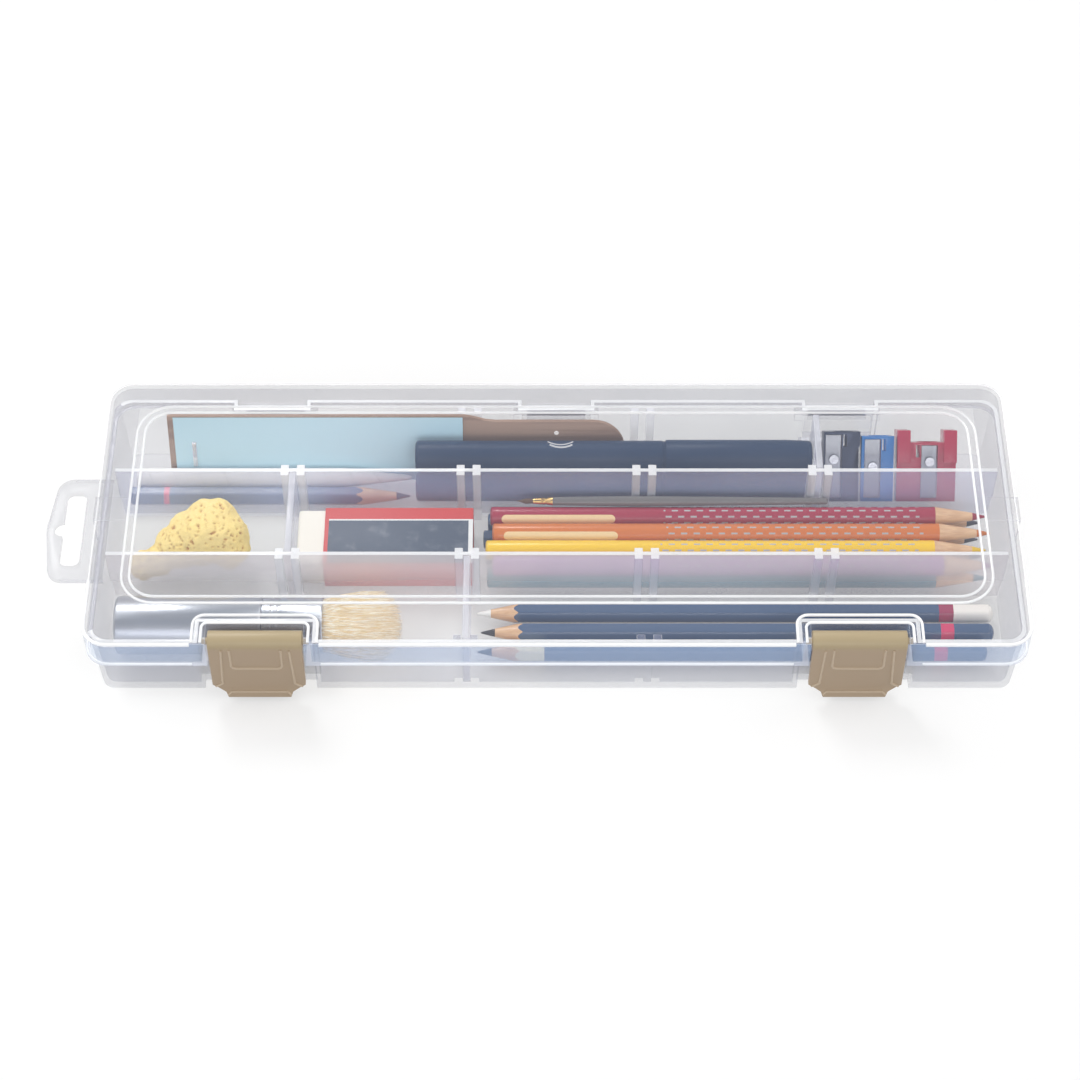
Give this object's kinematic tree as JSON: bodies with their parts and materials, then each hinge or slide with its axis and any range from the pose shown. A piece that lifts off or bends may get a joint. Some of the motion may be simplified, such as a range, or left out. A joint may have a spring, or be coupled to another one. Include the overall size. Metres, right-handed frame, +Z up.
{
  "type": "art supply box",
  "caption": "Slim clear plastic box for drawing tools: long bays with removable dividers, hinged lid, front snap latches, a hang tab, and the pencils, brushes and sharpeners kept inside.",
  "frame": {"origin": "on the table under the middle of the lid: the middle of the tray's flat underside, leaving out the hang tab", "axes": "+X along the case to the right, +Y to the hinge side, +Z up"},
  "size_m": [0.3375, 0.1158, 0.0315],
  "materials": {
    "tray_plastic": "clear frosted polypropylene, glossy outside",
    "lid_plastic": "clear frosted polypropylene, glossy",
    "latch_plastic": "tan moulded plastic, satin",
    "divider_plastic": "milky clear plastic",
    "board_wood": "bare wood, fine straight grain",
    "blue_paper": "light blue paper over sandpaper sheets",
    "steel_wire": "bright staple wire",
    "pen_plastic": "dark navy satin plastic",
    "grey_paper": "tightly rolled grey paper",
    "dark_metal": "dark coated light metal",
    "blue_plastic": "glossy blue plastic",
    "red_plastic": "glossy red plastic",
    "blade_steel": "ground steel",
    "screw_steel": "bright plated steel",
    "sponge_yellow": "natural sponge, porous",
    "eraser_vinyl": "white vinyl, smooth",
    "sleeve_card": "printed card sleeve, red with a slate panel",
    "brush_lacquer": "grey lacquered wood",
    "brass_ferrule": "polished brass",
    "brush_hair": "fine brown hair",
    "red_lacquer": "red lacquer over wood",
    "orange_lacquer": "orange lacquer over wood",
    "yellow_lacquer": "yellow lacquer over wood",
    "violet_lacquer": "violet lacquer over wood",
    "teal_lacquer": "teal lacquer over wood",
    "coloured_lead": "waxy coloured leads",
    "navy_lacquer": "navy lacquer over wood",
    "graphite": "graphite, faint sheen",
    "chalk": "white chalk and black charcoal, dull",
    "blender_metal": "satin aluminium",
    "ferrule_metal": "polished aluminium",
    "bristle": "pale hog bristle"
  },
  "bodies": {
    "base": {"base_tray": "tray_plastic", "divider_back": "divider_plastic", "divider_middle": "divider_plastic", "divider_front": "divider_plastic", "paddle_board": "board_wood", "paddle_paper": "blue_paper", "paddle_staple": "steel_wire", "upper_pen_barrel": "pen_plastic", "upper_pen_cap": "pen_plastic", "lower_pen_barrel": "pen_plastic", "lower_pen_cap": "pen_plastic", "blending_stump": "grey_paper", "metal_sharpener": "dark_metal", "blue_sharpener": "blue_plastic", "red_sharpener": "red_plastic", "sharpener_blades": "blade_steel", "sharpener_screws": "screw_steel", "sponge": "sponge_yellow", "eraser_block": "eraser_vinyl", "eraser_sleeve": "sleeve_card", "detail_brush_handle": "brush_lacquer", "detail_brush_ferrule": "brass_ferrule", "detail_brush_tip": "brush_hair", "pencil_red": "red_lacquer", "pencil_orange": "orange_lacquer", "pencil_yellow": "yellow_lacquer", "pencil_violet": "violet_lacquer", "pencil_teal": "teal_lacquer", "coloured_leads": "coloured_lead", "graphite_pencil_back": "navy_lacquer", "graphite_pencil_a": "navy_lacquer", "graphite_pencil_b": "navy_lacquer", "graphite_pencil_c": "navy_lacquer", "graphite_leads": "graphite", "white_chalk_pencil": "navy_lacquer", "charcoal_pencil_a": "navy_lacquer", "charcoal_pencil_b": "navy_lacquer", "chalk_leads": "chalk", "blender_brush_handle": "blender_metal", "blender_brush_ferrule": "ferrule_metal", "blender_brush_bristles": "bristle"},
    "lid": {"lid": "lid_plastic"},
    "latch_left": {"latch_left": "latch_plastic"},
    "latch_right": {"latch_right": "latch_plastic"}
  },
  "joints": [
    {"name": "lid_hinge", "type": "hinge", "parent": "base", "child": "lid", "pos_m": [0, 0.0532, 0.019], "axis": [-1, 0, 0], "range_deg": [0, 110]},
    {"name": "latch_left_hinge", "type": "hinge", "parent": "lid", "child": "latch_left", "pos_m": [-0.101, -0.053, 0.0274], "axis": [-1, 0, 0], "range_deg": [0, 100]},
    {"name": "latch_right_hinge", "type": "hinge", "parent": "lid", "child": "latch_right", "pos_m": [0.101, -0.053, 0.0274], "axis": [-1, 0, 0], "range_deg": [0, 100]}
  ]
}
